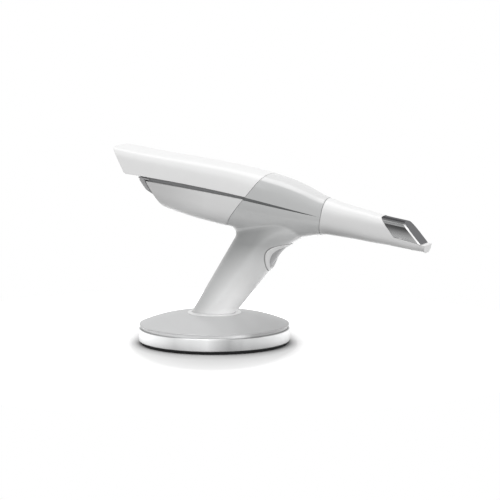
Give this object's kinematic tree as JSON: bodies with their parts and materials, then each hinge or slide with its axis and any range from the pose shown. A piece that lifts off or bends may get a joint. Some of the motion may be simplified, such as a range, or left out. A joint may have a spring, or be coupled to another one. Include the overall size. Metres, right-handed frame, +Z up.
{
  "type": "intraoral scanner",
  "caption": "Hand-held intraoral scanner with a slender mirror tip and a trigger button, resting by its leaning handle in a round weighted table holder.",
  "frame": {"origin": "centre of the underside of the holder's foot, on the table", "axes": "+X towards the scanner's tip, +Z up out of the table, +Y across the body"},
  "size_m": [0.2651, 0.124, 0.1608],
  "materials": {
    "black_rubber": "matt",
    "band_metal": "satin turned",
    "plate_steel": "plain",
    "ballast_iron": "as cast",
    "dark_plastic": "fine matt",
    "silver_cover": "satin silver paint",
    "white_shell": "soft gloss",
    "white_tip": "soft gloss",
    "grey_grip": "satin",
    "button_grey": "satin",
    "battery_grey": "satin",
    "cell_wrap": "film wrap",
    "contact_brass": "bright",
    "circuit_board": "solder mask",
    "screw_steel": "plain",
    "sink_aluminium": "milled",
    "barrel_black": "black anodised",
    "lens_glass": "clear",
    "cap_metal": "dark polished",
    "mirror_glass": "polished"
  },
  "bodies": {
    "holder_and_scanner": {"rubber_foot": "black_rubber", "rim_band": "band_metal", "base_plate": "plate_steel", "ballast_weight": "ballast_iron", "neck_ring": "band_metal", "dome_cover": "silver_cover", "collar_ring": "white_shell", "handle_socket": "dark_plastic", "socket_pad": "black_rubber", "base_screws": "screw_steel", "grip_housing": "grey_grip", "handle_foot": "dark_plastic", "button_bezel": "white_shell", "button_board": "circuit_board", "tact_switch": "dark_plastic", "upper_shell": "white_shell", "lower_shell": "white_shell", "inner_chassis": "dark_plastic", "battery_terminal": "contact_brass", "main_board": "circuit_board", "board_screws": "screw_steel", "heat_sink": "sink_aluminium", "fan_frame": "dark_plastic", "optics_bench": "sink_aluminium", "bench_screws": "screw_steel", "optics_block": "sink_aluminium", "projector_barrel": "barrel_black", "camera_barrel": "barrel_black", "projector_lens": "lens_glass", "camera_lens": "lens_glass", "lamp_unit": "dark_plastic", "lamp_heat_sink": "sink_aluminium", "sensor_board": "circuit_board", "nose_tube": "dark_plastic", "nose_seal": "black_rubber", "front_window": "lens_glass"},
    "tip": {"tip_sleeve": "white_tip", "mirror_cap": "cap_metal", "tip_mirror": "mirror_glass"},
    "battery": {"battery_case": "battery_grey", "battery_cells": "cell_wrap"},
    "button": {"scan_button": "button_grey"},
    "fan": {"fan_rotor": "dark_plastic"}
  },
  "joints": [
    {"name": "tip_slide", "type": "slide", "parent": "holder_and_scanner", "child": "tip", "axis": [0.9848, 0, -0.1736], "range_m": [0, 0.03]},
    {"name": "battery_slide", "type": "slide", "parent": "holder_and_scanner", "child": "battery", "axis": [-0.9848, 0, 0.1736], "range_m": [0, 0.055]},
    {"name": "scan_button_press", "type": "slide", "parent": "holder_and_scanner", "child": "button", "axis": [-0.7501, 0, 0.6613], "range_m": [0, 0.0008], "stiffness_N_per_m": 400, "springref_m": -0.0005},
    {"name": "fan_spin", "type": "hinge", "parent": "holder_and_scanner", "child": "fan", "pos_m": [-0.02557, 0, 0.14291], "axis": [0.1736, 0, 0.9848], "continuous": true}
  ]
}
